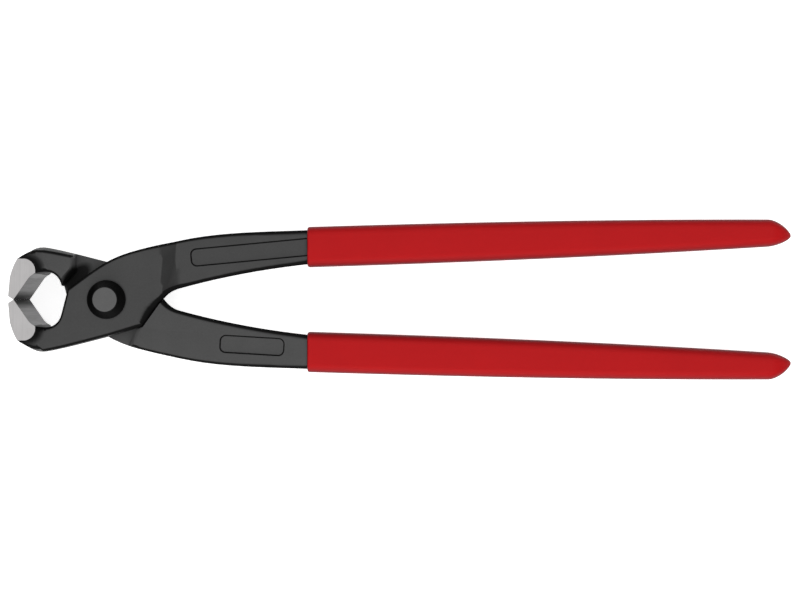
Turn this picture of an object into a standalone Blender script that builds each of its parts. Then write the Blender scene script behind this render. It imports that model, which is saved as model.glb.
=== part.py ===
"""Concreters nippers, about 280 mm long, lying flat with the jaws closed.

Two like forgings cross in a riveted lap joint. The front lever holds the lower jaw and the upper arm. The
rear lever is the same forging turned over about the long axis, with its own panel on the arm. A dipped
plastic grip covers the tang of each lever.

The origin is the middle of the flat face under the lower rivet head. X runs towards the grips, Y across the
tool and Z along the rivet. Everything is placed on a frame whose origin is the middle of the joint. Outlines
are described for the front lever there: its jaw lies below the X axis and its arm above.
"""

from collections import namedtuple
from math import cos, pi, radians, sin

import bmesh
import bpy
from mathutils import Matrix, Vector
from mathutils.geometry import interpolate_bezier

MM = 0.001

# Joint
BOSS_THICKNESS = 7.0 * MM
LAP_GAP = 0.3 * MM
LAP_SIDE_GAP = 0.4 * MM
OPENING_ANGLE = 45.0
STOP_MARGIN = 7.0
SHANK_RADIUS = 5.0 * MM
BORE_CLEARANCE = 0.2 * MM
HEAD_RADIUS = 6.9 * MM
HEAD_TOP_RADIUS = 4.0 * MM
HEAD_HEIGHT = 3.9 * MM
HEAD_RIM = 0.5 * MM
HEAD_ROUNDING = 0.6 * MM
SEAT_GAP = 0.3 * MM

# Jaw
EDGE_REACH = 32.0 * MM
EDGE_GAP = 0.3 * MM
NOSE_DEPTH = 1.9 * MM
NOSE_HALF = 1.2 * MM
FACE_HALF = 8.0 * MM
FACE_LEAN = 0.6 * MM
JAW_WIDTH = 24.0 * MM
WINDOW_REACH = 22.2 * MM
WINDOW_HALF = 9.7 * MM
CUTTING_FACE_LENGTH = 8.6 * MM
CUTTING_FACE_ANGLE = 54.7
JAW_DEPTH = 9.2 * MM
CROWN_REACH = 24.0 * MM
THROAT_REACH = 15.4 * MM
THROAT_ANGLE = 75.4
THROAT_BELOW = 5.5 * MM
THROAT_ABOVE = 4.0 * MM
LEAF_RADIUS = 4.3 * MM
LEAF_HALF = 10.2 * MM
LEAF_SETBACK = 3.4 * MM
FLARE_RUN = 2.8 * MM
FLARE_POWER = 2.2
GRINDING_STOCK = 2.5 * MM

# Boss and shoulders
NOTCH_HALF = 13.2 * MM
NOTCH_OFFSET = 0.5 * MM
HEEL_REACH = 12.2 * MM
HEEL_HALF = 9.6 * MM
SHOULDER_CLEARANCE = 2.6 * MM
SHOULDER_ANGLE = 92.0
SHOULDER_BEVEL = 1.6 * MM
SHOULDER_BEVEL_DROP = 1.1 * MM
RELIEF_RAMP = 0.85
HEEL_BEVEL = 3.0 * MM
HEEL_BEVEL_DROP = 3.4 * MM

# Arm
CROTCH_REACH = 19.3 * MM
CROTCH_HALF = 0.3 * MM
ROOT_WIDTH = 19.75 * MM
SLOPE_LENGTH = 5.7 * MM
ARM_START_HALF = 3.95 * MM
ARM_START_WIDTH = 17.35 * MM
ARM_THICKNESS = 9.0 * MM

# Directions along the outline, in degrees from the X axis
FACE_CORNER_ANGLE = -78.0
CROWN_ANGLE = 2.0
NOTCH_ANGLE = 14.5
BOSS_CORNER_ANGLE = 37.0
ROOT_ANGLE = 12.5
CROTCH_ANGLE = 52.0
ARM_INNER_START_ANGLE = 15.5
ARM_INNER_END_ANGLE = 6.5
ARM_OUTER_END_ANGLE = 2.0

# Fullness of the curves: the length of their handles as a share of the distance between their ends
PLAIN_PULL = 0.33
CORNER_PULL = 0.42
BACK_PULL = 0.15
WINDOW_PULL = 0.4
BOSS_PULL = 0.48

# Edges of the forging
EDGE_BEVEL = 1.2 * MM
EDGE_BEVEL_DROP = 1.6 * MM
TANG_BEVEL = 1.8 * MM
DRAFT = 0.25 * MM
JAW_BACK_DRAFT = 1.2 * MM

# Panels sunk in the arms
PANEL_DEPTH = 0.6 * MM
PANEL_WALL_RUN = 0.5 * MM
PANEL_HALF_WIDTH = 3.3 * MM
PANEL_CORNER = 2.2 * MM
PANEL_OVERLAP = 3.0 * MM
UPPER_PANEL_START = 29.6 * MM
UPPER_PANEL_CENTRE = 14.9 * MM
UPPER_PANEL_ANGLE = 5.4
LOWER_PANEL_START = 40.0 * MM
LOWER_PANEL_LENGTH = 23.4 * MM
LOWER_PANEL_CENTRE = 15.8 * MM
LOWER_PANEL_ANGLE = 3.4

# Grips and the tangs in them
GRIP_MOUTH = 71.5 * MM
GRIP_LENGTH = 174.8 * MM
GRIP_TIP_LENGTH = 8.3 * MM
GRIP_TIP_POWER = 1.5
GRIP_TIP_FULLNESS = 0.7
GRIP_TIP_DROP = 1.0 * MM
GRIP_TIP_FLAT = 0.25 * MM
GRIP_SPREAD_MOUTH = 18.9 * MM
GRIP_SPREAD_END = 24.0 * MM
GRIP_HALF_WIDTH_MOUTH = 7.25 * MM
GRIP_HALF_WIDTH_END = 4.9 * MM
GRIP_HALF_HEIGHT_END = 4.4 * MM
GRIP_TAPER_POWER = 2.3
GRIP_CORNER = 3.4 * MM
GRIP_CORNER_SHARE = 0.8
GRIP_LIP = 0.8 * MM
GRIP_WALL = 0.9 * MM
GRIP_GAP = 0.25 * MM
TANG_END_SETBACK = 0.8 * MM

# Fineness of the meshes
CROSS_STEPS = 8
CORNER_STEPS = 5
LIP_STEPS = 4
BODY_STEPS = 12
TIP_STEPS = 8
TANG_STEPS = 9
ROUND_STEPS = 48
PANEL_CORNER_STEPS = 5
HEAD_ARC_STEPS = 4
SMOOTH_ANGLE = 28.0
WELD_DISTANCE = 0.001 * MM
CUTTER_REACH = 40.0 * MM

Span = namedtuple("Span", "steps back throat back_bevel throat_bevel back_draft throat_draft")
Station = namedtuple("Station", "back throat back_bevel throat_bevel back_draft throat_draft")
Panel = namedtuple("Panel", "start length centre angle")


def direction(angle):
    """Unit vector at an angle in degrees from the X axis."""
    return Vector((cos(radians(angle)), sin(radians(angle))))


def turned(point, angle):
    """The point turned about the pivot by an angle in degrees."""
    return Matrix.Rotation(radians(angle), 2) @ point


def mirrored(point):
    """The place of a front lever point on the rear lever."""
    return Vector((point.x, -point.y))


def crossing(start, along, other_start, other_along):
    """Where two lines, each given by a point and a direction, cross."""
    across = Vector((other_along.y, -other_along.x))
    return start + along * ((other_start - start).dot(across) / along.dot(across))


def bend(start, start_angle, end, end_angle, pull=PLAIN_PULL):
    """Control points of a curve that leaves and arrives at the given angles."""
    handle = (end - start).length * pull
    return start, start + direction(start_angle) * handle, end - direction(end_angle) * handle, end


def straight(start, end):
    """Control points of a straight stretch."""
    return start, start.lerp(end, 1 / 3), start.lerp(end, 2 / 3), end


def blend(ends, share):
    """Value part of the way between a start and an end value."""
    return ends[0] + (ends[1] - ends[0]) * share


def grip_share(x):
    """How far along its taper a section of the grip lies, from 0 at the mouth to 1 where the tip starts."""
    share = (x - GRIP_MOUTH) / (GRIP_LENGTH - GRIP_TIP_LENGTH)
    return min(max(share, 0.0), 1.0)


def tip_share(x):
    """How far into the rounded tip a section lies, from 0 at its start to 1 at the end of the grip."""
    share = (x - GRIP_MOUTH - GRIP_LENGTH + GRIP_TIP_LENGTH) / GRIP_TIP_LENGTH
    return min(max(share, 0.0), 1.0)


def grip_centre(x):
    """Distance of the middle of the grip from the X axis."""
    straight_line = blend((GRIP_SPREAD_MOUTH, GRIP_SPREAD_END), grip_share(x))
    return straight_line - GRIP_TIP_DROP * tip_share(x) ** 2


def grip_half_sizes(x):
    """Half width and half height of the grip at a section."""
    taper = grip_share(x) ** GRIP_TAPER_POWER
    tip = (1.0 - tip_share(x) ** GRIP_TIP_POWER) ** GRIP_TIP_FULLNESS
    half_height_mouth = ARM_THICKNESS / 2 + GRIP_GAP + GRIP_WALL
    width = blend((GRIP_HALF_WIDTH_MOUTH, GRIP_HALF_WIDTH_END), taper) * tip
    height = blend((half_height_mouth, GRIP_HALF_HEIGHT_END), taper) * tip
    return width, height


def tang_edges(x):
    """The two edges of the tang at a section, which the grip covers with its wall and a gap."""
    half = grip_half_sizes(x)[0] - GRIP_WALL - GRIP_GAP
    return Vector((x, grip_centre(x) - half)), Vector((x, grip_centre(x) + half))


def outline_points():
    """The named corners of the front lever's outline."""
    points = {
        "edge": Vector((-EDGE_REACH, -EDGE_GAP / 2)),
        "nose": Vector((-EDGE_REACH - NOSE_DEPTH, -NOSE_HALF)),
        "face_end": Vector((-EDGE_REACH - NOSE_DEPTH + FACE_LEAN, -FACE_HALF)),
        "crown": Vector((-CROWN_REACH, -WINDOW_HALF - JAW_DEPTH)),
        "notch": Vector((NOTCH_OFFSET, -NOTCH_HALF)),
        "heel": Vector((HEEL_REACH, -HEEL_HALF)),
        "crotch": Vector((CROTCH_REACH, CROTCH_HALF)),
        "root": Vector((CROTCH_REACH, CROTCH_HALF + ROOT_WIDTH)),
        "window_top": Vector((-WINDOW_REACH, -WINDOW_HALF)),
    }
    throat = Vector((-THROAT_REACH, 0))
    along_throat = direction(THROAT_ANGLE)
    points["throat_low"] = throat - along_throat * THROAT_BELOW
    points["throat_high"] = throat + along_throat * THROAT_ABOVE
    points["cutting_face_end"] = points["edge"] + direction(-CUTTING_FACE_ANGLE) * CUTTING_FACE_LENGTH
    points["arm_inner"] = Vector((CROTCH_REACH + SLOPE_LENGTH, ARM_START_HALF))
    points["arm_outer"] = points["arm_inner"] + Vector((0, ARM_START_WIDTH))
    points["mouth_inner"], points["mouth_outer"] = tang_edges(GRIP_MOUTH)
    return points


def lever_spans():
    """The lever from nose to grip mouth, as spans between its back edge and its throat edge.

    The back edge follows the back of the jaw, the lower side of the boss and the inside of the arm. The
    throat edge follows the cutting face, the window, the upper side of the boss and the outside of the arm.
    """
    at = outline_points()
    plain = (EDGE_BEVEL, EDGE_BEVEL)
    growing = (0.0, EDGE_BEVEL)
    drafted = (DRAFT, DRAFT)
    return [
        Span(8, straight(at["nose"], at["face_end"]), straight(at["edge"], at["cutting_face_end"]),
             growing, growing, (0.0, 0.0), (0.0, 0.0)),
        Span(12, bend(at["face_end"], FACE_CORNER_ANGLE, at["crown"], CROWN_ANGLE, CORNER_PULL),
             bend(at["cutting_face_end"], -CUTTING_FACE_ANGLE, at["window_top"], 0.0),
             plain, plain, (0.0, JAW_BACK_DRAFT), (0.0, DRAFT)),
        Span(12, bend(at["crown"], CROWN_ANGLE, at["notch"], NOTCH_ANGLE, BACK_PULL),
             bend(at["window_top"], 0.0, at["throat_low"], THROAT_ANGLE, WINDOW_PULL),
             plain, plain, (JAW_BACK_DRAFT, DRAFT), drafted),
        Span(4, straight(at["notch"], at["heel"]), straight(at["throat_low"], at["throat_high"]),
             plain, plain, drafted, drafted),
        Span(12, straight(at["heel"], at["crotch"]),
             bend(at["throat_high"], BOSS_CORNER_ANGLE, at["root"], ROOT_ANGLE, BOSS_PULL),
             plain, plain, drafted, drafted),
        Span(6, bend(at["crotch"], CROTCH_ANGLE, at["arm_inner"], ARM_INNER_START_ANGLE),
             straight(at["root"], at["arm_outer"]),
             plain, plain, drafted, drafted),
        Span(10, bend(at["arm_inner"], ARM_INNER_START_ANGLE, at["mouth_inner"], ARM_INNER_END_ANGLE),
             bend(at["arm_outer"], ROOT_ANGLE, at["mouth_outer"], ARM_OUTER_END_ANGLE),
             (EDGE_BEVEL, TANG_BEVEL), (EDGE_BEVEL, TANG_BEVEL), (DRAFT, 0.0), (DRAFT, 0.0)),
    ]


def lever_stations():
    """Pairs of points across the lever, from the nose to the end of the tang."""
    stations = []
    for span in lever_spans():
        back = interpolate_bezier(*span.back, span.steps + 1)
        throat = interpolate_bezier(*span.throat, span.steps + 1)
        for step in range(1 if stations else 0, span.steps + 1):
            share = step / span.steps
            stations.append(Station(back[step], throat[step], blend(span.back_bevel, share),
                                    blend(span.throat_bevel, share), blend(span.back_draft, share),
                                    blend(span.throat_draft, share)))
    tang_end = GRIP_MOUTH + GRIP_LENGTH - GRIP_TIP_LENGTH - TANG_END_SETBACK
    for step in range(1, TANG_STEPS + 1):
        x = blend((GRIP_MOUTH, tang_end), step / TANG_STEPS)
        stations.append(Station(*tang_edges(x), TANG_BEVEL, TANG_BEVEL, 0.0, 0.0))
    return stations


def flare_height(point):
    """How far the wide cutting end stands above the jaw body, before its sides are ground."""
    tip = Vector((-EDGE_REACH - NOSE_DEPTH, 0))
    centre = Vector((-EDGE_REACH + LEAF_SETBACK, -LEAF_HALF))
    axis = centre - tip
    share = min(max((point - tip).dot(axis) / axis.length_squared, 0.0), 1.0)
    distance = (point - tip - axis * share).length - LEAF_RADIUS
    rise = JAW_WIDTH / 2 - BOSS_THICKNESS
    if distance > FLARE_RUN:
        return 0.0
    if distance > 0:
        return rise * (1.0 - distance / FLARE_RUN) ** FLARE_POWER
    return rise + min(GRINDING_STOCK, -distance * rise * FLARE_POWER / FLARE_RUN)


def half_thickness(point, lap_side):
    """Height of a face of the forging above the middle plane, on the outer side or on the side of the lap."""
    if point.x < 0:
        return BOSS_THICKNESS + flare_height(point)
    if point.x > GRIP_MOUTH:
        return grip_half_sizes(point.x)[1] - GRIP_WALL - GRIP_GAP
    slope_start = 0.0 if lap_side else CROTCH_REACH
    slope_share = min(max((point.x - slope_start) / SLOPE_LENGTH, 0.0), 1.0)
    return blend((BOSS_THICKNESS, ARM_THICKNESS / 2), slope_share)


def inward_normals(edge, inside):
    """Unit normals at the points of an edge, turned towards the paired points inside."""
    normals = []
    for index, point in enumerate(edge):
        before = edge[max(index - 1, 0)]
        after = edge[min(index + 1, len(edge) - 1)]
        along = (after - before).normalized()
        normal = Vector((-along.y, along.x))
        if normal.dot(inside[index] - point) < 0:
            normal.negate()
        normals.append(normal)
    return normals


def bevel_drop(width):
    """Height that a bevel of the given width takes off the side of the forging."""
    return EDGE_BEVEL_DROP + width - EDGE_BEVEL


def outer_back_draft(station):
    """Draft of the back edge on the outer side, where the wide draft of the jaw ends at the crown."""
    if station.back.x < -CROWN_REACH:
        return station.back_draft
    return min(station.back_draft, DRAFT)


def section_ring(station, back_normal, throat_normal, heel_share):
    """Points round one section of the forging: two drafted sides, bevelled edges and two crossing faces."""
    ring = []
    for lap_side, sign in ((False, 1), (True, -1)):
        heel = 0.0 if lap_side else heel_share
        back_bevel = blend((station.back_bevel, HEEL_BEVEL), heel)
        back_drop = blend((bevel_drop(station.back_bevel), HEEL_BEVEL_DROP), heel)
        back_draft = station.back_draft if lap_side else outer_back_draft(station)
        back_in = station.back + back_normal * (back_bevel + back_draft)
        throat_in = station.throat + throat_normal * (station.throat_bevel + station.throat_draft)
        faces = [back_in.lerp(throat_in, step / CROSS_STEPS) for step in range(CROSS_STEPS + 1)]
        side = [(*point, sign * half_thickness(point, lap_side)) for point in faces]
        back_side = station.back + back_normal * back_draft
        throat_side = station.throat + throat_normal * station.throat_draft
        back_z = half_thickness(back_in, lap_side) - back_drop
        throat_z = half_thickness(throat_in, lap_side) - bevel_drop(station.throat_bevel)
        side = [(*back_side, sign * back_z)] + side + [(*throat_side, sign * throat_z)]
        if lap_side:
            ring += [(*station.throat, 0.0)] + side[::-1]
        else:
            ring += [(*station.back, 0.0)] + side
    return ring


def loft(rings):
    """A closed mesh bridged through rings of points and capped at both ends."""
    bm = bmesh.new()
    loops = []
    for ring in rings:
        verts = [bm.verts.new(point) for point in ring]
        loops.append([bm.edges.new((verts[i - 1], verts[i])) for i in range(len(verts))])
    for loop, following in zip(loops, loops[1:]):
        bmesh.ops.bridge_loops(bm, edges=loop + following)
    for end in (loops[0], loops[-1]):
        bmesh.ops.contextual_create(bm, geom=end)
    bmesh.ops.recalc_face_normals(bm, faces=bm.faces)
    return bm


def grind_flat(bm, height, sign):
    """Cuts the mesh off level at a height above or below the middle plane and closes the cut."""
    geometry = bm.verts[:] + bm.edges[:] + bm.faces[:]
    cut = bmesh.ops.bisect_plane(bm, geom=geometry, dist=WELD_DISTANCE / 10, plane_co=(0, 0, sign * height),
                                 plane_no=(0, 0, sign), clear_outer=True)
    edges = [item for item in cut["geom_cut"] if isinstance(item, bmesh.types.BMEdge)]
    bmesh.ops.holes_fill(bm, edges=edges, sides=len(edges))


def heel_shares(stations):
    """How much of the heel bevel each station has, as it swells from the heel and dies out at the crotch."""
    spans = lever_spans()
    heel_start = sum(span.steps for span in spans[:4])
    shares = []
    for index in range(len(stations)):
        run = (index - heel_start) / spans[4].steps
        shares.append(sin(pi * min(max(run, 0.0), 1.0)))
    return shares


def forging_mesh(name):
    """The forging before the lap, the bore and the panel are cut."""
    stations = lever_stations()
    back = [station.back for station in stations]
    throat = [station.throat for station in stations]
    back_normals = inward_normals(back, throat)
    throat_normals = inward_normals(throat, back)
    sections = zip(stations, back_normals, throat_normals, heel_shares(stations))
    bm = loft([section_ring(*section) for section in sections])
    for sign in (1, -1):
        grind_flat(bm, JAW_WIDTH / 2, sign)
    bmesh.ops.recalc_face_normals(bm, faces=bm.faces)
    mesh = bpy.data.meshes.new(name)
    bm.to_mesh(mesh)
    bm.free()
    return mesh


def lap_outline(bevel, ramp):
    """Plan of the space that the other lever's boss takes up, with room for it to swing to full opening.

    The shoulder across the jaw is moved back by the width of its bevel. The relief beside the arm is moved
    towards the heel by a share of the distance to it.
    """
    at = {name: mirrored(point) for name, point in outline_points().items()}
    turn = OPENING_ANGLE + STOP_MARGIN
    notch_radius = at["notch"].length
    shoulder_radius = notch_radius + SHOULDER_CLEARANCE + bevel
    shoulder = mirrored(turned(at["notch"] * (shoulder_radius / notch_radius), turn))
    tangent = Vector((-shoulder.y, shoulder.x)).normalized()
    window_side = shoulder - tangent * (shoulder.dot(tangent) + WINDOW_REACH / 2)
    back_side = shoulder + mirrored(direction(SHOULDER_ANGLE)) * CUTTER_REACH

    boss_top = (at["heel"] - at["notch"]).normalized()
    boss_end = (at["crotch"] - at["heel"]).normalized()
    top_line = at["notch"] + Vector((-boss_top.y, boss_top.x)) * LAP_SIDE_GAP
    end_line = at["heel"] + Vector((-boss_end.y, boss_end.x)) * LAP_SIDE_GAP
    corner = crossing(top_line, boss_top, end_line, boss_end)
    flank_start = turned(at["notch"], -turn)
    flank = (turned(at["crown"], -turn) - flank_start).normalized()
    relief = crossing(top_line, boss_top, flank_start, flank).lerp(corner, ramp)
    return [
        back_side,
        shoulder,
        window_side,
        Vector((-WINDOW_REACH, 0)),
        Vector((-WINDOW_REACH, CUTTER_REACH)),
        relief + flank * CUTTER_REACH,
        relief,
        corner,
        corner + boss_end * CUTTER_REACH,
        Vector((0, -CUTTER_REACH)),
    ]


def panel_outline(panel, inset):
    """A long panel with rounded corners, drawn in by an inset, along a line at an angle."""
    along = direction(panel.angle)
    across = Vector((-along.y, along.x))
    middle = Vector((panel.start, panel.centre)) + along * (panel.length / 2)
    corner = PANEL_CORNER - inset
    points = []
    for quarter, (side_along, side_across) in enumerate(((1, 1), (-1, 1), (-1, -1), (1, -1))):
        for step in range(PANEL_CORNER_STEPS + 1):
            swing = pi / 2 * (quarter + step / PANEL_CORNER_STEPS)
            reach_along = side_along * (panel.length / 2 - PANEL_CORNER) + corner * cos(swing)
            reach_across = side_across * (PANEL_HALF_WIDTH - PANEL_CORNER) + corner * sin(swing)
            points.append(middle + along * reach_along + across * reach_across)
    return points


def panel_cutter(name, panel, face):
    """The space of a panel with sloping walls, sunk from above the arm or from below it."""
    surface = ARM_THICKNESS / 2
    levels = ((surface - PANEL_DEPTH, PANEL_WALL_RUN), (surface, 0.0), (2 * surface, 0.0))
    rings = [[(*point, face * height) for point in panel_outline(panel, inset)] for height, inset in levels]
    bm = loft(rings)
    mesh = bpy.data.meshes.new(name)
    bm.to_mesh(mesh)
    bm.free()
    return mesh


def lap_cutter(name):
    """The space of the other lever's boss, widened outwards for a bevelled shoulder and a sloping relief."""
    levels = (
        (LAP_GAP / 2, 0.0, 0.0),
        (-ARM_THICKNESS / 2, 0.0, RELIEF_RAMP),
        (SHOULDER_BEVEL_DROP - BOSS_THICKNESS, 0.0, RELIEF_RAMP),
        (-BOSS_THICKNESS, SHOULDER_BEVEL, RELIEF_RAMP),
        (-CUTTER_REACH, SHOULDER_BEVEL, RELIEF_RAMP),
    )
    rings = [[(*point, height) for point in lap_outline(bevel, ramp)] for height, bevel, ramp in levels]
    bm = loft(rings)
    mesh = bpy.data.meshes.new(name)
    bm.to_mesh(mesh)
    bm.free()
    return mesh


def cylinder(name, radius, half_length):
    """A closed cylinder along the rivet axis."""
    bm = bmesh.new()
    bmesh.ops.create_cone(bm, cap_ends=True, segments=ROUND_STEPS, radius1=radius, radius2=radius,
                          depth=2 * half_length)
    mesh = bpy.data.meshes.new(name)
    bm.to_mesh(mesh)
    bm.free()
    return mesh


def add_object(name, mesh, material=None, parent=None):
    """Links an object for a mesh, with its finish and shading."""
    mesh.shade_smooth()
    mesh.set_sharp_from_angle(angle=radians(SMOOTH_ANGLE))
    if material:
        mesh.materials.append(material)
    item = bpy.data.objects.new(name, mesh)
    bpy.context.scene.collection.objects.link(item)
    item.parent = parent
    return item


def cut(item, name, mesh):
    """Takes a cutter away from a piece, in the piece's own frame."""
    cutter = add_object(name, mesh, parent=item)
    cutter.hide_render = True
    cutter.display_type = "WIRE"
    modifier = item.modifiers.new(name, "BOOLEAN")
    modifier.operation = "DIFFERENCE"
    modifier.solver = "EXACT"
    modifier.object = cutter


def finish(name, colour, roughness, metallic):
    """A plain finish for one kind of surface."""
    material = bpy.data.materials.new(name)
    material.use_nodes = True
    shader = material.node_tree.nodes["Principled BSDF"]
    shader.inputs["Base Color"].default_value = (*colour, 1.0)
    shader.inputs["Roughness"].default_value = roughness
    shader.inputs["Metallic"].default_value = metallic
    return material


def lever(name, material, parent, panel, panel_face):
    """One forging with its half of the lap joint, its bore and the panel sunk in one face of its arm."""
    item = add_object(name, forging_mesh(name), material, parent)
    cut(item, name + "_lap_cut", lap_cutter("lap"))
    cut(item, name + "_bore_cut", cylinder("bore", SHANK_RADIUS + BORE_CLEARANCE, CUTTER_REACH))
    cut(item, name + "_panel_cut", panel_cutter("panel", panel, panel_face))
    return item


def front_lever(steel, parent):
    """Lower jaw and upper arm, with the long panel that runs on under its grip."""
    length = GRIP_MOUTH + PANEL_OVERLAP - UPPER_PANEL_START
    panel = Panel(UPPER_PANEL_START, length, UPPER_PANEL_CENTRE, UPPER_PANEL_ANGLE)
    return lever("front_lever", steel, parent, panel, 1)


def rear_lever(steel, parent):
    """Upper jaw and lower arm: the same forging turned over, with a short panel on its upper face."""
    panel = Panel(LOWER_PANEL_START, LOWER_PANEL_LENGTH, LOWER_PANEL_CENTRE, LOWER_PANEL_ANGLE)
    item = lever("rear_lever", steel, parent, panel, -1)
    item.rotation_euler = (pi, 0, 0)
    return item


def pivot_rivet(steel, parent):
    """A shank through both bosses with a tapered head on each face, turned from one profile."""
    seat = BOSS_THICKNESS + SEAT_GAP
    top = BOSS_THICKNESS + HEAD_HEIGHT
    profile = [(SHANK_RADIUS, 0.0), (SHANK_RADIUS, seat), (HEAD_RADIUS, seat), (HEAD_RADIUS, seat + HEAD_RIM)]
    for step in range(HEAD_ARC_STEPS + 1):
        swing = pi / 2 * step / HEAD_ARC_STEPS
        profile.append((HEAD_TOP_RADIUS + HEAD_ROUNDING * cos(swing), top - HEAD_ROUNDING * (1 - sin(swing))))
    lower = [(radius, -height) for radius, height in profile[:0:-1]]
    bm = bmesh.new()
    verts = [bm.verts.new((radius, 0, height)) for radius, height in lower + profile]
    edges = [bm.edges.new(pair) for pair in zip(verts, verts[1:])]
    bmesh.ops.spin(bm, geom=verts + edges, axis=(0, 0, 1), cent=(0, 0, 0), angle=2 * pi, steps=ROUND_STEPS,
                   use_merge=True)
    bmesh.ops.remove_doubles(bm, verts=bm.verts, dist=WELD_DISTANCE)
    bmesh.ops.holes_fill(bm, edges=bm.edges, sides=ROUND_STEPS)
    bmesh.ops.recalc_face_normals(bm, faces=bm.faces)
    mesh = bpy.data.meshes.new("pivot_rivet")
    bm.to_mesh(mesh)
    bm.free()
    return add_object("pivot_rivet", mesh, steel, parent)


def rounded_ring(x, inset):
    """Points round a section of the grip, drawn in from its outer surface by an inset."""
    half_width, half_height = grip_half_sizes(x)
    corner = min(GRIP_CORNER, GRIP_CORNER_SHARE * half_width, GRIP_CORNER_SHARE * half_height) - inset
    reach_y = half_width - inset - corner
    reach_z = half_height - inset - corner
    ring = []
    for quarter, (side_y, side_z) in enumerate(((1, 1), (-1, 1), (-1, -1), (1, -1))):
        for step in range(CORNER_STEPS + 1):
            swing = pi / 2 * (quarter + step / CORNER_STEPS)
            ring.append((x, grip_centre(x) + side_y * reach_y + corner * cos(swing),
                         side_z * reach_z + corner * sin(swing)))
    return ring


def sleeve_loft(name, sections):
    """A closed mesh through sections of the grip, each given by its place and its inset."""
    bm = loft([rounded_ring(x, inset) for x, inset in sections])
    mesh = bpy.data.meshes.new(name)
    bm.to_mesh(mesh)
    bm.free()
    return mesh


def grip(name, plastic, parent):
    """A dipped sleeve with a rounded lip and tip, bored to take the tang."""
    tip_start = GRIP_MOUTH + GRIP_LENGTH - GRIP_TIP_LENGTH
    bore_end = tip_start - TANG_END_SETBACK + GRIP_GAP
    sections = []
    for step in range(LIP_STEPS + 1):
        swing = pi / 2 * step / LIP_STEPS
        sections.append((GRIP_MOUTH + GRIP_LIP * (1 - cos(swing)), GRIP_LIP * (1 - sin(swing))))
    for step in range(1, BODY_STEPS + 1):
        sections.append((blend((GRIP_MOUTH + GRIP_LIP, tip_start), step / BODY_STEPS), 0.0))
    for step in range(1, TIP_STEPS + 1):
        reach = sin(pi / 2 * step / TIP_STEPS)
        sections.append((tip_start + (GRIP_TIP_LENGTH - GRIP_TIP_FLAT) * reach, 0.0))
    item = add_object(name, sleeve_loft(name, sections), plastic, parent)
    bore = [(blend((GRIP_MOUTH, bore_end), step / BODY_STEPS), GRIP_WALL) for step in range(BODY_STEPS + 1)]
    bore.insert(0, (GRIP_MOUTH - GRIP_LIP, GRIP_WALL))
    cut(item, name + "_bore_cut", sleeve_loft(name + "_bore", bore))
    return item


def main():
    for item in list(bpy.data.objects):
        bpy.data.objects.remove(item, do_unlink=True)
    forged = finish("black_steel", (0.07, 0.07, 0.07), 0.45, 0.6)
    riveted = finish("rivet_steel", (0.11, 0.11, 0.11), 0.4, 0.7)
    plastic = finish("red_plastic", (0.45, 0.015, 0.018), 0.3, 0.0)
    joint_frame = bpy.data.objects.new("joint_frame", None)
    joint_frame.location.z = BOSS_THICKNESS + HEAD_HEIGHT
    bpy.context.scene.collection.objects.link(joint_frame)
    front = front_lever(forged, joint_frame)
    rear = rear_lever(forged, joint_frame)
    pivot_rivet(riveted, front)
    grip("upper_grip", plastic, front)
    grip("lower_grip", plastic, rear)


main()
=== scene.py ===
"""Concreters nippers with black forged levers and red dipped grips, lying closed on a pale floor.

X runs from the joint towards the grips, Y across the tool and Z up along the rivet, in metres.
"""

from math import cos, pi, radians, sin

import bmesh
import bpy
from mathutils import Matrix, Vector


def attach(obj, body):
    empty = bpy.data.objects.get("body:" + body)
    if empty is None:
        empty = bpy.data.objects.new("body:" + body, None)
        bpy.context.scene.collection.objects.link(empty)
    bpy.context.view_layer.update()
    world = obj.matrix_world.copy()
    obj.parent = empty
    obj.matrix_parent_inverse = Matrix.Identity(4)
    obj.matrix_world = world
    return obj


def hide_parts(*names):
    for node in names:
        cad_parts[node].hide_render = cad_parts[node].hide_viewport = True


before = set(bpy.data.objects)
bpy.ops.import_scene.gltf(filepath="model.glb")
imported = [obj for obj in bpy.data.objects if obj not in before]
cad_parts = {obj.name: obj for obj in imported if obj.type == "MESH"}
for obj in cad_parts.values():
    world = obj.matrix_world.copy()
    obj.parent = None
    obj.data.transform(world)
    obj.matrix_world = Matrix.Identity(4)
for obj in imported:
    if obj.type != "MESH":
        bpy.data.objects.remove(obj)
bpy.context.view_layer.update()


# Levers: two like drop forgings in carbon steel that cross in a lap joint, with a panel sunk in each arm.
# The joint is milled, and the forging is blackened all over and oiled. Then the sides of the jaws and the
# cutting faces are ground bright. Painted shade darkens their steep faces, the crescent behind each leaf,
# the pocket behind each jaw, the cutting faces and the V where they meet, and the rear forging is painted
# lighter than the front.

MM = 0.001
MIDDLE = 10.9 * MM
JAW_SIDE = 12.0 * MM
EDGE_REACH = 32.0 * MM
EDGE_GAP = 0.3 * MM
EDGE_CLOSING = 0.01
CUTTING_FACE_ANGLE = 54.7
LAP_GAP = 0.3 * MM
BOSS_THICKNESS = 7.0 * MM
PANEL_START = 28.0 * MM
PANEL_FLOOR = 3.9 * MM
ARM_SURFACE = 4.5 * MM
POCKET = Vector((-12.0, 8.0, 0)) * MM
POCKET_ANGLE = 47.0
POCKET_HALF_LENGTH = 6.5 * MM
POCKET_HALF_WIDTH = 3.3 * MM
# The pocket behind each jaw is darkened by old oil and by painted shade, full inside and gone outside these
# reaches.
OIL_AND_SHADE_FULL = 0.75
OIL_AND_SHADE_GONE = 1.15
# Painted shade where the two cutting faces meet, fading out between these distances from the edge.
V_SHADE_FADE_START = 1.3 * MM
V_SHADE_FADE_END = 3.6 * MM
# Painted light: the rear forging's finishes are a lighter copy of the front's.
FRONT_PAINTED_LIGHT = 1.02
REAR_PAINTED_LIGHT = 1.22
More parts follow.
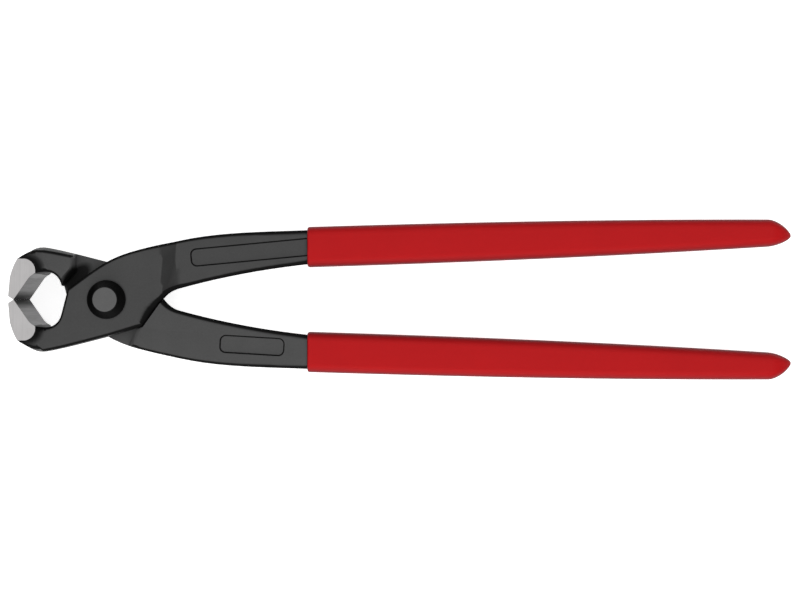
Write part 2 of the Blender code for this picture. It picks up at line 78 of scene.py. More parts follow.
# Flank values at which the bevels and the crescent behind each leaf reach full painted shade.
EDGE_FULL_SHADE = 0.14
FLARE_FULL_SHADE = 0.66
WELD_DISTANCE = 0.002 * MM
FLAT_ANGLE = 0.3
LEVER_SMOOTH_ANGLE = 66.0
FORGED_BLACK = (0.057, 0.057, 0.057, 1.0)
# Painted shade: the near black on faces that fall away, in the pocket behind each jaw and on the rivet's
# flanks.
PAINTED_SHADE_BLACK = (0.003, 0.003, 0.003, 1.0)
EDGE_LEVEL = (0.068, 0.068, 0.068, 1.0)
# Painted shade on bevels, inner walls behind the joint and the crescents behind the leaves.
EDGE_PAINTED_SHADE = (0.009, 0.009, 0.009, 1.0)
GROUND_BRIGHT = (0.392, 0.383, 0.383, 1.0)
# Painted shade: the cutting faces take a far darker copy of the jaw sides' ground steel.
GROUND_SHADED = (0.062, 0.060, 0.061, 1.0)
FORGING_MOTTLE = (90.0, 1500.0, 0.5)
FORGING_RELIEF = (0.25, 0.03 * MM)
GROUND_ROUGHNESS = 0.42
CUTTING_ROUGHNESS = 0.38
ROUGHNESS_SPREAD = 0.05

# Limits that tell the surfaces of a forging apart. The upright part of a normal is 0 on a wall and 1 on a
# level face.
THROAT_LIMIT = 17.5 * MM
CUTTING_FACE_LIMIT = 11.6 * MM
CUTTING_FACING = 0.75
BORE_LIMIT = 6.0 * MM
JOINT_LIMIT = 27.0 * MM
LEAST_SIDEWAYS = 0.2
TOWARDS_PIVOT = -0.5
HEEL_LIMIT = 12.0 * MM
SIDE_MARGIN = 0.05 * MM
BOSS_MARGIN = 0.02 * MM
PANEL_MARGIN = 0.1 * MM
LEVEL_UPRIGHT = 0.99
BEVEL_UPRIGHT = 0.87
WALL_UPRIGHT = 0.3
FLARE_UPRIGHT = 0.2

# Numbers of the finishes in the list of materials of a lever.
FORGED, GROUND, CUTTING, MILLED, EDGE, FLARE = range(6)

# Places of the colour sockets on a mix node, whose names are the same for every kind of data.
FIRST_COLOUR = 6
SECOND_COLOUR = 7
MIXED_COLOUR = 2

# The part of its range that a noise texture mostly fills.
NOISE_LOW = 0.3
NOISE_HIGH = 0.7


def add_node(tree, kind, place, **settings):
    """A node at a place in the tree, with its inputs and options set by name."""
    node = tree.nodes.new(kind)
    node.location = place
    for name, value in settings.items():
        if name in node.inputs:
            node.inputs[name].default_value = value
        else:
            setattr(node, name, value)
    return node


def new_group(name, inputs, outputs):
    """An empty shader node group with float inputs and outputs."""
    tree = bpy.data.node_groups.new(name, "ShaderNodeTree")
    for socket, value in inputs:
        slot = tree.interface.new_socket(socket, in_out="INPUT", socket_type="NodeSocketFloat")
        slot.default_value = value
    for socket in outputs:
        tree.interface.new_socket(socket, in_out="OUTPUT", socket_type="NodeSocketFloat")
    start = add_node(tree, "NodeGroupInput", (-800, 0))
    end = add_node(tree, "NodeGroupOutput", (600, 0))
    return tree, start, end


def flank_group():
    """Tells steep flanks from level faces by the surface's own direction, for the finishes to paint shade
    on.
    """
    tree, start, end = new_group("Flank", [("From", 0.2), ("To", 0.6)], ["Flank"])
    surface = add_node(tree, "ShaderNodeTexCoord", (-800, 300))
    parts = add_node(tree, "ShaderNodeSeparateXYZ", (-600, 300))
    upright = add_node(tree, "ShaderNodeMath", (-400, 300), operation="ABSOLUTE")
    steep = add_node(tree, "ShaderNodeMath", (-200, 300), operation="SUBTRACT")
    steep.inputs[0].default_value = 1.0
    spread = add_node(tree, "ShaderNodeMapRange", (200, 200))
    tree.links.new(surface.outputs["Normal"], parts.inputs[0])
    tree.links.new(parts.outputs["Z"], upright.inputs[0])
    tree.links.new(upright.outputs[0], steep.inputs[1])
    tree.links.new(steep.outputs[0], spread.inputs["Value"])
    tree.links.new(start.outputs["From"], spread.inputs["From Min"])
    tree.links.new(start.outputs["To"], spread.inputs["From Max"])
    tree.links.new(spread.outputs["Result"], end.inputs["Flank"])
    return tree


def mottle_group():
    """Cloudy differences in tone with a fine grain over them, and a height for the same grain."""
    scales = [("Cloud Scale", 60.0), ("Grain Scale", 900.0), ("Grain Share", 0.4)]
    tree, start, end = new_group("Mottle", scales, ["Tone", "Height"])
    place = add_node(tree, "ShaderNodeTexCoord", (-800, 300))
    cloud = add_node(tree, "ShaderNodeTexNoise", (-400, 300), Detail=4.0, Roughness=0.6)
    grain = add_node(tree, "ShaderNodeTexNoise", (-400, 0), Detail=3.0, Roughness=0.65)
    mixed = add_node(tree, "ShaderNodeMix", (100, 200), data_type="FLOAT")
    for texture, scale in ((cloud, "Cloud Scale"), (grain, "Grain Scale")):
        tree.links.new(place.outputs["Object"], texture.inputs["Vector"])
        tree.links.new(start.outputs[scale], texture.inputs["Scale"])
    tree.links.new(start.outputs["Grain Share"], mixed.inputs["Factor"])
    tree.links.new(cloud.outputs["Fac"], mixed.inputs["A"])
    tree.links.new(grain.outputs["Fac"], mixed.inputs["B"])
    tree.links.new(mixed.outputs["Result"], end.inputs["Tone"])
    tree.links.new(grain.outputs["Fac"], end.inputs["Height"])
    return tree


def grinding_group():
    """Fine scratches side by side along X, each running across the tool, as a grinding belt leaves them."""
    tree, start, end = new_group("Grinding", [("Across", 2500.0), ("Along", 60.0)], ["Streak"])
    place = add_node(tree, "ShaderNodeTexCoord", (-800, 300))
    scale = add_node(tree, "ShaderNodeCombineXYZ", (-600, 0))
    stretched = add_node(tree, "ShaderNodeVectorMath", (-400, 200), operation="MULTIPLY")
    streak = add_node(tree, "ShaderNodeTexNoise", (-100, 200), Scale=1.0, Detail=4.0, Roughness=0.6)
    tree.links.new(start.outputs["Across"], scale.inputs["X"])
    tree.links.new(start.outputs["Along"], scale.inputs["Y"])
    tree.links.new(start.outputs["Along"], scale.inputs["Z"])
    tree.links.new(place.outputs["Object"], stretched.inputs[0])
    tree.links.new(scale.outputs[0], stretched.inputs[1])
    tree.links.new(stretched.outputs[0], streak.inputs["Vector"])
    tree.links.new(streak.outputs["Fac"], end.inputs["Streak"])
    return tree


FLANK_GROUP = flank_group()
MOTTLE_GROUP = mottle_group()
GRINDING_GROUP = grinding_group()


def start_material(name, **shader_inputs):
    """A material with its Principled shader set, and its node tree."""
    material = bpy.data.materials.new(name)
    material.use_nodes = True
    tree = material.node_tree
    shader = tree.nodes["Principled BSDF"]
    for socket, value in shader_inputs.items():
        shader.inputs[socket.replace("_", " ")].default_value = value
    return material, tree, shader


def place_group(tree, group, place, **inputs):
    """A node group in a material, with its own values."""
    node = add_node(tree, "ShaderNodeGroup", place, node_tree=group)
    for socket, value in inputs.items():
        node.inputs[socket.replace("_", " ")].default_value = value
    return node


def place_mottle(tree, clouds, grain, grain_share):
    """The mottle in a material, with its two scales and the share of the finer one."""
    return place_group(tree, MOTTLE_GROUP, (-900, 0), Cloud_Scale=clouds, Grain_Scale=grain,
                       Grain_Share=grain_share)


def spread_values(tree, value, low, high, place, from_low=NOISE_LOW, from_high=NOISE_HIGH):
    """Spreads a texture's values over a range and gives the socket with the result."""
    node = add_node(tree, "ShaderNodeMapRange", place)
    ends = (("From Min", from_low), ("From Max", from_high), ("To Min", low), ("To Max", high))
    for socket, number in ends:
        node.inputs[socket].default_value = number
    tree.links.new(value, node.inputs["Value"])
    return node.outputs["Result"]


def mix_colours(tree, factor, first, second, place):
    """Mixes two colours by a factor and gives the socket with the result."""
    node = add_node(tree, "ShaderNodeMix", place, data_type="RGBA")
    node.inputs[FIRST_COLOUR].default_value = first
    node.inputs[SECOND_COLOUR].default_value = second
    tree.links.new(factor, node.inputs["Factor"])
    return node.outputs[MIXED_COLOUR]


def shade_colour(tree, colour, factor, place):
    """Multiplies a colour, plain or from a socket, by a value and gives the socket with the result."""
    node = add_node(tree, "ShaderNodeVectorMath", place, operation="SCALE")
    if isinstance(colour, tuple):
        node.inputs[0].default_value = colour[:3]
    else:
        tree.links.new(colour, node.inputs[0])
    tree.links.new(factor, node.inputs["Scale"])
    return node.outputs[0]


def add_bump(tree, shader, height, strength, depth):
    """Raises a fine relief from a height."""
    node = add_node(tree, "ShaderNodeBump", (-350, -300), Strength=strength, Distance=depth)
    tree.links.new(height, node.inputs["Height"])
    tree.links.new(node.outputs["Normal"], shader.inputs["Normal"])


def lay_mottle(tree, shader, base, mottle, tones, roughness, relief):
    """Gives a shader its base colour under a cloudy tone, with roughness and relief from the same mottle."""
    tone = spread_values(tree, mottle.outputs["Tone"], *tones, (-600, 0))
    rough = spread_values(tree, mottle.outputs["Tone"], *roughness, (-350, -50))
    tree.links.new(shade_colour(tree, base, tone, (-350, 200)), shader.inputs["Base Color"])
    tree.links.new(rough, shader.inputs["Roughness"])
    add_bump(tree, shader, mottle.outputs["Height"], *relief)


def flanked_finish(name, flank, colours, mottle, tones, roughness, relief, **shader_inputs):
    """A finish with one colour on level faces and another on flanks, under one mottle; the flank colour is
    painted shade.
    """
    material, tree, shader = start_material(name, **shader_inputs)
    steep = place_group(tree, FLANK_GROUP, (-900, 300), From=flank[0], To=flank[1])
    base = mix_colours(tree, steep.outputs["Flank"], *colours, (-600, 300))
    lay_mottle(tree, shader, base, place_mottle(tree, *mottle), tones, roughness, relief)
    return material


def forged_steel(name, shade):
    """Blackened forging: dark grey on its level faces, and near black painted shade where it falls away."""
    return flanked_finish(name, flank=(0.03, 0.13), colours=(FORGED_BLACK, PAINTED_SHADE_BLACK),
                          mottle=FORGING_MOTTLE, tones=(0.90 * shade, 1.10 * shade),
                          roughness=(0.46, 0.56), relief=FORGING_RELIEF, Specular_IOR_Level=0.13)


def edge_steel(name, shade, full_shade):
    """Painted shade where the forging falls away, thin beside the faces and full black where it is steep,
    dull.
    """
    return flanked_finish(name, flank=(0.0, full_shade), colours=(EDGE_LEVEL, EDGE_PAINTED_SHADE),
                          mottle=FORGING_MOTTLE, tones=(0.90 * shade, 1.10 * shade),
                          roughness=(0.6, 0.7), relief=FORGING_RELIEF, Specular_IOR_Level=0.0)


def pocket_reach(tree, x, y):
    """Distance in plan from the middle of the pocket behind a jaw: 1 on its border, alike on both jaws."""
    here = add_node(tree, "ShaderNodeTexCoord", (x, y))
    parts = add_node(tree, "ShaderNodeSeparateXYZ", (x + 150, y))
    folded = add_node(tree, "ShaderNodeMath", (x + 300, y), operation="ABSOLUTE")
    plan = add_node(tree, "ShaderNodeCombineXYZ", (x + 450, y))
    oval = add_node(tree, "ShaderNodeMapping", (x + 600, y), vector_type="TEXTURE", Location=POCKET,
                    Rotation=(0, 0, radians(POCKET_ANGLE)),
                    Scale=(POCKET_HALF_LENGTH, POCKET_HALF_WIDTH, 1))
    reach = add_node(tree, "ShaderNodeVectorMath", (x + 750, y), operation="LENGTH")
    tree.links.new(here.outputs["Object"], parts.inputs[0])
    tree.links.new(parts.outputs["Y"], folded.inputs[0])
    tree.links.new(parts.outputs["X"], plan.inputs["X"])
    tree.links.new(folded.outputs[0], plan.inputs["Y"])
    tree.links.new(plan.outputs[0], oval.inputs["Vector"])
    tree.links.new(oval.outputs[0], reach.inputs[0])
    return reach.outputs["Value"]


def milled_steel(name, shade):
    """Milled and blackened faces of the joint, darkened in the pocket behind each jaw by old oil and by
    painted shade.
    """
    material, tree, shader = start_material(name, Specular_IOR_Level=0.10)
    reach = pocket_reach(tree, -1700, 400)
    oil_and_shade = spread_values(tree, reach, 1.0, 0.0, (-800, 400), OIL_AND_SHADE_FULL, OIL_AND_SHADE_GONE)
    base = mix_colours(tree, oil_and_shade, FORGED_BLACK, PAINTED_SHADE_BLACK, (-600, 300))
    mottle = place_mottle(tree, clouds=120.0, grain=1800.0, grain_share=0.4)
    lay_mottle(tree, shader, base, mottle, tones=(0.92 * shade, 1.08 * shade), roughness=(0.44, 0.54),
               relief=(0.2, 0.02 * MM))
    return material


def ground_steel(name, colour, roughness):
    """Bright steel as the grinding belt leaves it, with the socket that holds its colour."""
    material, tree, shader = start_material(name, Metallic=1.0, Specular_IOR_Level=0.02)
    grinding = place_group(tree, GRINDING_GROUP, (-900, 200), Across=1800.0, Along=50.0)
    mottle = place_mottle(tree, clouds=150.0, grain=2500.0, grain_share=0.3)
    streaks = spread_values(tree, grinding.outputs["Streak"], 0.93, 1.07, (-600, 200))
    clouds = spread_values(tree, mottle.outputs["Tone"], 0.95, 1.05, (-600, -100))
    streaked = shade_colour(tree, colour, streaks, (-350, 200))
    clouded = shade_colour(tree, streaked, clouds, (-150, 200))
    rough = spread_values(tree, grinding.outputs["Streak"], roughness - ROUGHNESS_SPREAD,
                          roughness + ROUGHNESS_SPREAD, (-350, -50))
    tree.links.new(clouded, shader.inputs["Base Color"])
    tree.links.new(rough, shader.inputs["Roughness"])
    add_bump(tree, shader, grinding.outputs["Streak"], 0.2, 0.02 * MM)
    return material, tree, shader, clouded


def cutting_steel():
    """Ground steel in a darker copy of its colour, darkening further towards the cutting edge: painted shade
    where the cutting faces meet.
    """
    material, tree, shader, colour = ground_steel("ground_cutting_faces", GROUND_SHADED, CUTTING_ROUGHNESS)
    here = add_node(tree, "ShaderNodeTexCoord", (-900, 700))
    parts = add_node(tree, "ShaderNodeSeparateXYZ", (-700, 700))
    reach = add_node(tree, "ShaderNodeMath", (-500, 700), operation="ABSOLUTE")
    tree.links.new(here.outputs["Object"], parts.inputs[0])
    tree.links.new(parts.outputs["Y"], reach.inputs[0])
    out_of_v_shade = spread_values(tree, reach.outputs[0], 0.0, 1.0, (-300, 700), V_SHADE_FADE_START, V_SHADE_FADE_END)
    tree.links.new(shade_colour(tree, colour, out_of_v_shade, (0, 300)), shader.inputs["Base Color"])
    tree.links.new(out_of_v_shade, shader.inputs["Metallic"])
    return material


GROUND_STEEL = ground_steel("ground_jaw_sides", GROUND_BRIGHT, GROUND_ROUGHNESS)[0]
CUTTING_STEEL = cutting_steel()


def lever_finishes(lever, shade):
    """The materials of one forging, in the order of their numbers, made lighter or darker as a whole by
    painted light.
    """
    forged = forged_steel(lever + "_forged_black", shade)
    milled = milled_steel(lever + "_milled_black", shade)
    edge = edge_steel(lever + "_painted_shade_edges", shade, EDGE_FULL_SHADE)
    flare = edge_steel(lever + "_painted_shade_flares", shade, FLARE_FULL_SHADE)
    return [forged, GROUND_STEEL, CUTTING_STEEL, milled, edge, flare]


def show_piece(mesh, name, body, node, materials):
    """Makes a finished mesh the visible piece for a CAD node."""
    for material in materials:
        mesh.materials.append(material)
    piece = bpy.data.objects.new(name, mesh)
    bpy.context.scene.collection.objects.link(piece)
    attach(piece, body)
    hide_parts(node)
    return piece


def faces_pivot(face):
    """Whether a face stands in the joint and is turned towards the pivot, as only milled faces are."""
    centre = face.calc_center_median()
    from_pivot = Vector((centre.x, centre.y, 0))
    sideways = Vector((face.normal.x, face.normal.y, 0))
    if centre.x < -THROAT_LIMIT or not BORE_LIMIT < from_pivot.length < JOINT_LIMIT:
        return False
    if sideways.length < LEAST_SIDEWAYS:
        return False
    return sideways.normalized().dot(from_pivot.normalized()) < TOWARDS_PIVOT


def face_finish(face, along, outward):
    """Number of the finish of a face. The cutting face runs along one direction and looks outward."""
    centre = face.calc_center_median()
    height = abs(centre.z - MIDDLE)
    upright = abs(face.normal.z)
    reach = centre - Vector((-EDGE_REACH, 0, centre.z))
    if upright > LEVEL_UPRIGHT:
        if height > JAW_SIDE - SIDE_MARGIN:
            return GROUND
        if height < LAP_GAP:
            return MILLED
    on_cutting_face = face.normal.dot(outward) > CUTTING_FACING and reach.dot(along) < CUTTING_FACE_LIMIT
    if on_cutting_face and centre.x < -THROAT_LIMIT:
        return CUTTING
    if faces_pivot(face):
        return MILLED
    if height > BOSS_THICKNESS + BOSS_MARGIN and upright > FLARE_UPRIGHT:
        return FLARE
    # Bevels and the inner walls behind the joint take the edge finish's painted shade.
    inner_wall = centre.x > HEEL_LIMIT and face.normal.x > 0 and upright < BEVEL_UPRIGHT
    return EDGE if inner_wall or WALL_UPRIGHT < upright < BEVEL_UPRIGHT else FORGED


def in_panel_wall(face):
    """Whether a face belongs to the low wall around a panel."""
    centre = face.calc_center_bounds()
    between = PANEL_FLOOR + PANEL_MARGIN < abs(centre.z - MIDDLE) < ARM_SURFACE - PANEL_MARGIN
    return between and centre.x > PANEL_START and abs(face.normal.z) < BEVEL_UPRIGHT


def lever_piece(node, name, body, jaw, shade):
    """The forging as one welded surface with its finishes. The jaw is 1 above the X axis and -1 below it."""
    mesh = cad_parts[node].data.copy()
    mesh.name = name
    mesh.materials.clear()
    bm = bmesh.new()
    bm.from_mesh(mesh)
    bmesh.ops.remove_doubles(bm, verts=bm.verts, dist=WELD_DISTANCE)
    angle = radians(CUTTING_FACE_ANGLE)
    along = Vector((cos(angle), jaw * sin(angle), 0))
    outward = Vector((sin(angle), -jaw * cos(angle), 0))
    for face in bm.faces:
        face.material_index = face_finish(face, along, outward)
        face.smooth = True
    for vert in bm.verts:
        if vert.co.x < -EDGE_REACH / 2 and abs(vert.co.y) < EDGE_GAP:
            vert.co.y *= EDGE_CLOSING
    bmesh.ops.dissolve_limit(bm, angle_limit=radians(FLAT_ANGLE), use_dissolve_boundaries=False,
                             verts=bm.verts, edges=bm.edges, delimit={"MATERIAL"})
    for edge in bm.edges:
        walls = set(in_panel_wall(face) for face in edge.link_faces)
        edge.smooth = len(walls) == 1 and edge.calc_face_angle(0) < radians(LEVER_SMOOTH_ANGLE)
    bm.to_mesh(mesh)
    bm.free()
    if "custom_normal" in mesh.attributes:
        mesh.attributes.remove(mesh.attributes["custom_normal"])
    piece = show_piece(mesh, name, body, node, lever_finishes(node, shade))
    shading = piece.modifiers.new("rounded_edges", "WEIGHTED_NORMAL")
    shading.keep_sharp = True


lever_piece("front_lever", "front_lever_forging", "front", jaw=-1, shade=FRONT_PAINTED_LIGHT)
lever_piece("rear_lever", "rear_lever_forging", "rear", jaw=1, shade=REAR_PAINTED_LIGHT)


# Rivet: one steel rivet through both bosses. Each end is set into a low cone with a flat end, which is a
# satin grey, while painted shade makes its flanks as black as the levers' flanks.

SHANK_RADIUS = 5.0 * MM
SEAT_GAP = 0.3 * MM
HEAD_RADIUS = 6.9 * MM
HEAD_RIM = 0.5 * MM
HEAD_SEAT_CHAMFER = 0.15 * MM
HEAD_RIM_CHAMFER = 0.1 * MM
HEAD_TOP_RADIUS = 4.0 * MM
HEAD_TOP_SHARES = (0.6, 0.3, 0)
HEAD_HEIGHT = 3.9 * MM
HEAD_ROUNDING = 0.6 * MM
HEAD_ARC_STEPS = 8
RIVET_STEPS = 96
RIVET_SMOOTH_ANGLE = 35.0
RIVET_GREY = (0.115, 0.115, 0.115, 1.0)


def rivet_steel():
    """Set steel: a grey flat end with a fine mottle, and painted shade that makes its flanks black."""
    return flanked_finish("set_rivet_steel", flank=(0.08, 0.22), colours=(RIVET_GREY, PAINTED_SHADE_BLACK),
                          mottle=(180.0, 2200.0, 0.45), tones=(0.9, 1.1), roughness=(0.36, 0.46),
                          relief=(0.2, 0.03 * MM), Specular_IOR_Level=0.04)


def rivet_mesh():
    """The rivet turned from one profile."""
    seat = BOSS_THICKNESS + SEAT_GAP
    rim = seat + HEAD_RIM
    top = BOSS_THICKNESS + HEAD_HEIGHT
    profile = [(SHANK_RADIUS, 0), (SHANK_RADIUS, seat), (HEAD_RADIUS - HEAD_SEAT_CHAMFER, seat)]
    profile += [(HEAD_RADIUS, seat + HEAD_SEAT_CHAMFER), (HEAD_RADIUS, rim - HEAD_RIM_CHAMFER)]
    profile += [(HEAD_RADIUS - HEAD_RIM_CHAMFER, rim)]
    for step in range(HEAD_ARC_STEPS + 1):
        swing = pi / 2 * step / HEAD_ARC_STEPS
        radius = HEAD_TOP_RADIUS + HEAD_ROUNDING * cos(swing)
        profile.append((radius, top - HEAD_ROUNDING * (1 - sin(swing))))
    profile += [(HEAD_TOP_RADIUS * share, top) for share in HEAD_TOP_SHARES]
    bm = bmesh.new()
    below = [bm.verts.new((radius, 0, MIDDLE - height)) for radius, height in profile[:0:-1]]
    above = [bm.verts.new((radius, 0, MIDDLE + height)) for radius, height in profile]
    line = below + above
    edges = [bm.edges.new(pair) for pair in zip(line, line[1:])]
    bmesh.ops.spin(bm, geom=line + edges, axis=(0, 0, 1), cent=(0, 0, 0), angle=2 * pi,
                   steps=RIVET_STEPS, use_merge=True)
    bmesh.ops.remove_doubles(bm, verts=bm.verts, dist=WELD_DISTANCE)
    bmesh.ops.recalc_face_normals(bm, faces=bm.faces)
    mesh = bpy.data.meshes.new("pivot_rivet_head")
    bm.to_mesh(mesh)
    bm.free()
    mesh.shade_smooth()
    mesh.set_sharp_from_angle(angle=radians(RIVET_SMOOTH_ANGLE))
    return mesh


show_piece(rivet_mesh(), "pivot_rivet_set", "front", "pivot_rivet", [rivet_steel()])


# Grips: soft red plastic, dipped hot onto the tangs. Each is a sleeve with a rounded lip at its mouth and a
# blunt point at its end, flat on top and below and slightly wavy like any dipped skin.

GRIP_MOUTH = 71.5 * MM
GRIP_LENGTH = 174.8 * MM
GRIP_TIP_LENGTH = 8.3 * MM
GRIP_TIP_POWER = 1.5
GRIP_TIP_FULLNESS = 0.7
GRIP_TIP_DROP = 1.0 * MM
GRIP_TIP_FLAT = 0.25 * MM
GRIP_SPREAD_MOUTH = 18.9 * MM
GRIP_SPREAD_END = 24.0 * MM
GRIP_HALF_WIDTHS = (7.25 * MM, 4.9 * MM)
GRIP_HALF_HEIGHTS = (5.65 * MM, 4.4 * MM)
GRIP_TAPER_POWER = 2.3
GRIP_CORNER = 3.4 * MM
GRIP_CORNER_SHARE = 0.8
GRIP_LIP = 0.8 * MM
GRIP_WALL = 0.9 * MM
BORE_START = 0.05 * MM
RING_POINTS = 64
TIP_STEPS = 12
BODY_STEPS = 12
LIP_STEPS = 8
BORE_STEPS = 20
GRIP_SMOOTH_ANGLE = 50.0
DIPPED_RED = (0.470, 0.0085, 0.0105, 1.0)
# Painted shade on the grips' rounded edges.
DIPPED_EDGE_SHADE = (0.17, 0.014, 0.018, 1.0)


def dipped_plastic():
    """Dipped vinyl: a clean deep red with a soft gloss and a faint orange peel, and painted shade on its
    rounded edges.
    """
    return flanked_finish("dipped_red_plastic", flank=(0.05, 0.6), colours=(DIPPED_RED, DIPPED_EDGE_SHADE),
                          mottle=(70.0, 700.0, 0.35), tones=(0.96, 1.04), roughness=(0.38, 0.46),
                          relief=(0.12, 0.05 * MM), Specular_IOR_Level=0.05, Coat_Roughness=0.18,
                          Coat_Weight=0.02)


DIPPED_PLASTIC = dipped_plastic()


def along_grip(x):
    """Middle of the grip, its half width and its half height at a section."""
    share = min(max((x - GRIP_MOUTH) / (GRIP_LENGTH - GRIP_TIP_LENGTH), 0.0), 1.0)
    tip = min(max((x - GRIP_MOUTH - GRIP_LENGTH + GRIP_TIP_LENGTH) / GRIP_TIP_LENGTH, 0.0), 1.0)
    middle = GRIP_SPREAD_MOUTH + (GRIP_SPREAD_END - GRIP_SPREAD_MOUTH) * share - GRIP_TIP_DROP * tip ** 2
    fullness = (1 - tip ** GRIP_TIP_POWER) ** GRIP_TIP_FULLNESS
    sizes = []
    for start, end in (GRIP_HALF_WIDTHS, GRIP_HALF_HEIGHTS):
        sizes.append((start + (end - start) * share ** GRIP_TAPER_POWER) * fullness)
    return middle, *sizes


def shape_ring(verts, x, inset, side):
    """Places a ring of points, each with its own direction, on a section of the grip."""
    middle, half_width, half_height = along_grip(x)
    corner = min(GRIP_CORNER, GRIP_CORNER_SHARE * half_width, GRIP_CORNER_SHARE * half_height) - inset
    reach_y = half_width - inset - corner
    reach_z = half_height - inset - corner
    for index, vert in enumerate(verts):
        swing = 2 * pi * (index + 0.5) / len(verts)
        y = corner * cos(swing) + reach_y * (1 if cos(swing) > 0 else -1)
        z = corner * sin(swing) + reach_z * (1 if sin(swing) > 0 else -1)
        vert.co = (x, side * (middle + y), MIDDLE + z)


def grip_rings():
    """Place and inset of each ring, from the tip to the lip, over it and back inside along the tang."""
    tip_start = GRIP_MOUTH + GRIP_LENGTH - GRIP_TIP_LENGTH
    tip_end = GRIP_MOUTH + GRIP_LENGTH - GRIP_TIP_FLAT
    lip_start = GRIP_MOUTH + GRIP_LIP
    rings = []
    for step in range(TIP_STEPS + 1):
        swing = pi / 2 * step / TIP_STEPS
        rings.append((tip_end - (GRIP_TIP_LENGTH - GRIP_TIP_FLAT) * (1 - cos(swing)), 0))
    for step in range(1, BODY_STEPS + 1):
        rings.append((tip_start + (lip_start - tip_start) * step / BODY_STEPS, 0))
    for step in range(1, LIP_STEPS + 1):
        swing = pi / 2 * step / LIP_STEPS
        rings.append((GRIP_MOUTH + GRIP_LIP * (1 - sin(swing)), GRIP_LIP * (1 - cos(swing))))
    rings.append((GRIP_MOUTH + BORE_START, GRIP_WALL))
    for step in range(1, BORE_STEPS):
        rings.append((GRIP_MOUTH + (tip_start - GRIP_MOUTH) * step / BORE_STEPS, GRIP_WALL))
    return rings


def grip_mesh(name, side):
    """A sleeve drawn out ring by ring, closed at its tip and at the end of its bore."""
    rings = grip_rings()
    bm = bmesh.new()
    ring = bmesh.ops.create_circle(bm, cap_ends=False, segments=RING_POINTS, radius=MM)["verts"]
    first = list(bm.edges)
    edges = first
    shape_ring(ring, *rings[0], side)
    for x, inset in rings[1:]:
        drawn = bmesh.ops.extrude_edge_only(bm, edges=edges)["geom"]
        fresh = set(item for item in drawn if isinstance(item, bmesh.types.BMVert))
        edges = [item for item in drawn if isinstance(item, bmesh.types.BMEdge)]
        following = []
        for vert in ring:
            across = [edge.other_vert(vert) for edge in vert.link_edges]
            following.append(next(other for other in across if other in fresh))
        ring = following
        shape_ring(ring, x, inset, side)
    bmesh.ops.contextual_create(bm, geom=first)
    bmesh.ops.contextual_create(bm, geom=edges)
    bmesh.ops.recalc_face_normals(bm, faces=bm.faces)
    mesh = bpy.data.meshes.new(name)
    bm.to_mesh(mesh)
    bm.free()
    mesh.shade_smooth()
    mesh.set_sharp_from_angle(angle=radians(GRIP_SMOOTH_ANGLE))
    return mesh


UPPER_SLEEVE = grip_mesh("upper_grip_sleeve", 1)
LOWER_SLEEVE = grip_mesh("lower_grip_sleeve", -1)
show_piece(UPPER_SLEEVE, "upper_grip_sleeve", "front", "upper_grip", [DIPPED_PLASTIC])
show_piece(LOWER_SLEEVE, "lower_grip_sleeve", "rear", "lower_grip", [DIPPED_PLASTIC])


# Studio: a pale floor that the sides of the jaws and the ends of the grips rest on, a broad soft light
# overhead and the camera straight above.

FLOOR_TILT = -1.57
FLOOR_HALF_WIDTH = 6.0
FLOOR_GLOW = 0.75
FLOOR_GREY = (0.9, 0.9, 0.9, 1.0)
WHITE = (1.0, 1.0, 1.0, 1.0)
JAW_REST = Vector((-30.0 * MM, 0, MIDDLE - JAW_SIDE))
TOOL_MIDDLE = Vector((0.105, 0, 0))
SURROUND_GREY = (0.9, 0.9, 0.9, 1.0)
SURROUND_LIGHT = 0.08
CAMERA_PLACE = (0.10482, -0.000163, 0.551 + MIDDLE)
CAMERA_LENS = 68.535
SENSOR_WIDTH = 36.0
NEAREST_SEEN = 0.01
FARTHEST_SEEN = 50.0


def pale_floor():
    """A plain pale sheet that glows a little, with a faint unevenness of tone."""
    material, tree, shader = start_material("pale_floor", Roughness=0.9, Specular_IOR_Level=0.1,
                                            Emission_Color=WHITE, Emission_Strength=FLOOR_GLOW)
    mottle = place_mottle(tree, clouds=4.0, grain=60.0, grain_share=0.2)
    tone = spread_values(tree, mottle.outputs["Tone"], 0.985, 1.0, (-600, 0))
    tree.links.new(shade_colour(tree, FLOOR_GREY, tone, (-350, 100)), shader.inputs["Base Color"])
    return material


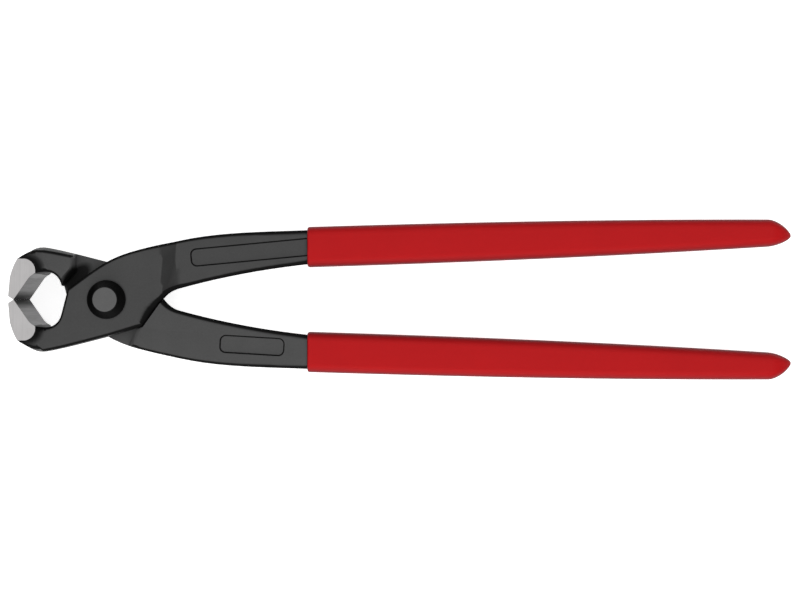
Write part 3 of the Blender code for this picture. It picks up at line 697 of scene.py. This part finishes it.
def lay_floor():
    """The floor under the jaws, tilted so that the ends of the grips rest on it too."""
    bm = bmesh.new()
    bmesh.ops.create_grid(bm, x_segments=2, y_segments=2, size=FLOOR_HALF_WIDTH)
    mesh = bpy.data.meshes.new("floor")
    bm.to_mesh(mesh)
    bm.free()
    mesh.materials.append(pale_floor())
    floor = bpy.data.objects.new("floor", mesh)
    floor.rotation_euler = (0, radians(FLOOR_TILT), 0)
    floor.location = JAW_REST
    bpy.context.scene.collection.objects.link(floor)


def soft_light(name, place, size, power):
    """A square area light aimed at the middle of the tool."""
    data = bpy.data.lights.new(name, "AREA")
    data.shape = "SQUARE"
    data.size = size
    data.energy = power
    light = bpy.data.objects.new(name, data)
    light.location = place
    light.rotation_euler = (TOOL_MIDDLE - Vector(place)).to_track_quat("-Z", "Y").to_euler()
    bpy.context.scene.collection.objects.link(light)


def light_surround():
    """A surround that is white to the camera and gives the tool only a little light."""
    world = bpy.data.worlds.new("studio")
    bpy.context.scene.world = world
    world.use_nodes = True
    tree = world.node_tree
    seen = tree.nodes["Background"]
    seen.inputs["Color"].default_value = WHITE
    seen.inputs["Strength"].default_value = 1.0
    lit = add_node(tree, "ShaderNodeBackground", (-100, -200), Color=SURROUND_GREY,
                   Strength=SURROUND_LIGHT)
    ray = add_node(tree, "ShaderNodeLightPath", (-300, 300))
    either = add_node(tree, "ShaderNodeMixShader", (200, 100))
    tree.links.new(ray.outputs["Is Camera Ray"], either.inputs[0])
    tree.links.new(lit.outputs[0], either.inputs[1])
    tree.links.new(seen.outputs[0], either.inputs[2])
    tree.links.new(either.outputs[0], tree.nodes["World Output"].inputs["Surface"])


def place_camera():
    """The camera straight above the tool."""
    data = bpy.data.cameras.new("camera")
    data.lens = CAMERA_LENS
    data.sensor_width = SENSOR_WIDTH
    data.clip_start = NEAREST_SEEN
    data.clip_end = FARTHEST_SEEN
    camera = bpy.data.objects.new("camera", data)
    camera.location = CAMERA_PLACE
    bpy.context.scene.collection.objects.link(camera)
    bpy.context.scene.camera = camera


lay_floor()
soft_light("overhead_light", place=(0.105, 0.0, 1.3), size=2.6, power=27.5)
soft_light("side_light", place=(0.15, -1.1, 0.6), size=1.0, power=7.0)
light_surround()
place_camera()
bpy.context.scene.view_settings.view_transform = "Standard"

bpy.context.view_layer.update()
